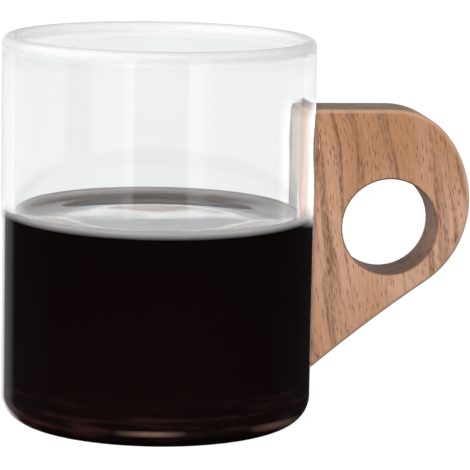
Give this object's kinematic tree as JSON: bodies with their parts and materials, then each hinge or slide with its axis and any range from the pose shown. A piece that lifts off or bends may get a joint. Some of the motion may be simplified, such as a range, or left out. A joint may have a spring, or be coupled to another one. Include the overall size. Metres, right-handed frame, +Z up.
{
  "type": "glass mug",
  "caption": "Straight-sided clear glass mug with a flat walnut handle bonded to its wall; the handle has a round finger hole and a rounded outer end.",
  "frame": {"origin": "centre of the flat base, on the surface that the mug stands on", "axes": "+Z up along the axis of the glass, +X from that axis out through the handle, +Y across the handle's thickness"},
  "size_m": [0.12, 0.08, 0.099],
  "materials": {
    "clear_glass": "clear borosilicate glass with a fire-polished lip",
    "oiled_walnut": "sanded and oiled, open pores",
    "clear_adhesive": "clear cured resin"
  },
  "bodies": {
    "root": {"glass_body": "clear_glass", "handle": "oiled_walnut", "bond_film": "clear_adhesive"}
  },
  "joints": []
}
